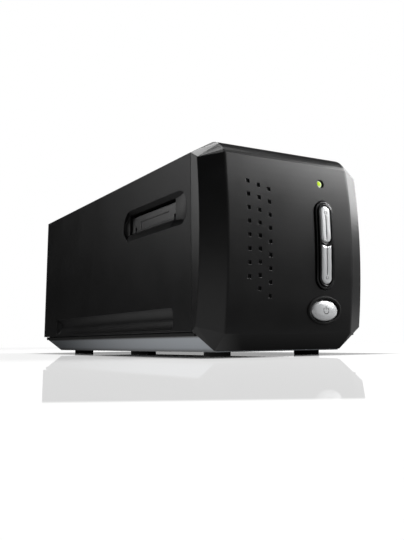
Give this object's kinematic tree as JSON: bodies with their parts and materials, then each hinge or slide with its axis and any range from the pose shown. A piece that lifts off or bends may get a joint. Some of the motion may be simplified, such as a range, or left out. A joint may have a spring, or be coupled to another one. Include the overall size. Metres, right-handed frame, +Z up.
{
  "type": "film negative scanner",
  "caption": "Upright box film scanner with a bulged facetted front, long scan keys, oval power button, side film slots with sprung dust flaps and a belt-driven optical carriage.",
  "frame": {"origin": "on the floor, under the middle of the overall box", "axes": "+X to the right seen from the front, +Y from the front face to the rear, +Z up"},
  "size_m": [0.115, 0.274, 0.119],
  "materials": {
    "housing_plastic": "fine-grained black moulded plastic",
    "bezel_plastic": "fine satin black moulded plastic",
    "base_plastic": "satin metallic grey moulded plastic",
    "flap_plastic": "black plastic, lightly polished",
    "steel": "ground steel",
    "blackened_steel": "oil-blackened spring steel",
    "black_gloss": "polished black plastic",
    "key_silver": "silver-painted plastic",
    "light_lens": "yellow-green light pipe",
    "circuit_board": "green solder mask",
    "component_black": "black moulded components",
    "foot_rubber": "black rubber",
    "chassis_metal": "bare cast alloy",
    "carriage_plastic": "glass-filled black plastic",
    "bronze": "sintered bronze",
    "mirror_glass": "front-surface mirror",
    "lens_black": "black anodised",
    "lens_glass": "coated glass",
    "sensor_ceramic": "ceramic package",
    "lamp_white": "white reflector plastic",
    "diffuser": "opal sheet",
    "motor_metal": "plated can",
    "brass": "machined brass",
    "gear_plastic": "natural acetal",
    "belt_rubber": "reinforced rubber",
    "socket_metal": "tinned steel",
    "screw_metal": "zinc-plated steel"
  },
  "bodies": {
    "shell": {"upper_housing": "housing_plastic", "base_tray": "base_plastic", "front_bezel": "bezel_plastic", "rear_panel": "housing_plastic", "flap_pins": "blackened_steel", "flap_springs": "blackened_steel", "key_collar": "black_gloss", "status_light": "light_lens", "switch_board": "circuit_board", "key_switches": "component_black", "rubber_feet": "foot_rubber", "chassis": "chassis_metal", "guide_rods": "steel", "film_gate": "flap_plastic", "detent_spring": "steel", "lamp_housing": "lamp_white", "lamp_diffuser": "diffuser", "lamp_board": "circuit_board", "stepper_motor": "motor_metal", "gear_post": "steel", "idler_post": "steel", "drive_belt": "belt_rubber", "main_board": "circuit_board", "board_parts": "component_black", "usb_socket": "socket_metal", "power_jack": "component_black", "home_sensor": "component_black", "chassis_screws": "screw_metal", "rear_screws": "screw_metal", "board_screws": "screw_metal"},
    "left_flap": {"left_dust_flap": "flap_plastic"},
    "right_flap": {"right_dust_flap": "flap_plastic"},
    "upper_key_body": {"upper_key": "key_silver"},
    "lower_key_body": {"lower_key": "key_silver"},
    "power_key_body": {"power_button": "key_silver"},
    "carriage": {"carriage_body": "carriage_plastic", "carriage_cover": "carriage_plastic", "carriage_bushes": "bronze", "scan_mirror": "mirror_glass", "lens_barrel": "lens_black", "lens_glass": "lens_glass", "sensor_board": "circuit_board", "image_sensor": "sensor_ceramic", "belt_clamp": "carriage_plastic", "sensor_flag": "carriage_plastic"},
    "rotor": {"motor_shaft": "steel", "motor_pinion": "brass"},
    "gear": {"reduction_gear": "gear_plastic"},
    "idler": {"idler_pulley": "gear_plastic"}
  },
  "joints": [
    {"name": "left_flap_hinge", "type": "hinge", "parent": "shell", "child": "left_flap", "pos_m": [-0.052, -0.06375, 0.07845], "axis": [0, 1, 0], "range_deg": [-85, 85], "stiffness_Nm_per_rad": 0.002},
    {"name": "right_flap_hinge", "type": "hinge", "parent": "shell", "child": "right_flap", "pos_m": [0.052, -0.06375, 0.07845], "axis": [0, -1, 0], "range_deg": [-85, 85], "stiffness_Nm_per_rad": 0.002},
    {"name": "upper_key_press", "type": "slide", "parent": "shell", "child": "upper_key_body", "axis": [0, 1, 0], "range_m": [0, 0.0008], "stiffness_N_per_m": 400, "springref_m": -0.0005},
    {"name": "lower_key_press", "type": "slide", "parent": "shell", "child": "lower_key_body", "axis": [0, 1, 0], "range_m": [0, 0.0008], "stiffness_N_per_m": 400, "springref_m": -0.0005},
    {"name": "power_press", "type": "slide", "parent": "shell", "child": "power_key_body", "axis": [0, 1, 0], "range_m": [0, 0.0008], "stiffness_N_per_m": 400, "springref_m": -0.0005},
    {"name": "scan_slide", "type": "slide", "parent": "shell", "child": "carriage", "axis": [0, 1, 0], "range_m": [0, 0.03]},
    {"name": "gear_spin", "type": "hinge", "parent": "shell", "child": "gear", "pos_m": [0, -0.09, 0.03], "axis": [0, 0, 1], "range_deg": [0, 306.8]},
    {"name": "motor_spin", "type": "hinge", "parent": "shell", "child": "rotor", "pos_m": [-0.0196, -0.09, 0.03], "axis": [0, 0, 1], "range_deg": [-1021.5, 0]},
    {"name": "idler_spin", "type": "hinge", "parent": "shell", "child": "idler", "pos_m": [0, 0.101, 0.033], "axis": [0, 0, 1], "range_deg": [0, 306.8]}
  ],
  "couplings": [
    {"joint": "gear_spin", "follows": "scan_slide", "rad_per_m": 177.94},
    {"joint": "motor_spin", "follows": "scan_slide", "rad_per_m": -593.12},
    {"joint": "idler_spin", "follows": "scan_slide", "rad_per_m": 177.94}
  ]
}
